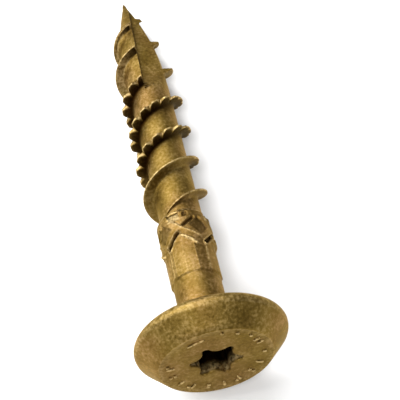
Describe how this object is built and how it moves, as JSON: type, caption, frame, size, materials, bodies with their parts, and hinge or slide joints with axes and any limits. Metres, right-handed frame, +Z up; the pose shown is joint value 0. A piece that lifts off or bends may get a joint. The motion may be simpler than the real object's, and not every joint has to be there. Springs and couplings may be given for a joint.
{
  "type": "lag screw",
  "caption": "Washer-head structural lag screw for timber: star recess, smooth and ribbed shank, crossed reamer, coarse serrated thread and a fluted point. It lies on its head rim and thread.",
  "frame": {"origin": "centre of the lying screw's bounding box, on the surface that it rests on", "axes": "+Z up; the screw lies with its point towards +Y and its head towards -Y, its axis tipped down by about 7 degrees towards the point"},
  "size_m": [0.0164, 0.0542, 0.0163],
  "materials": {
    "coated_steel": "satin mottled bronze-gold corrosion coating over steel"
  },
  "bodies": {
    "root": {"lag_screw": "coated_steel"}
  },
  "joints": []
}
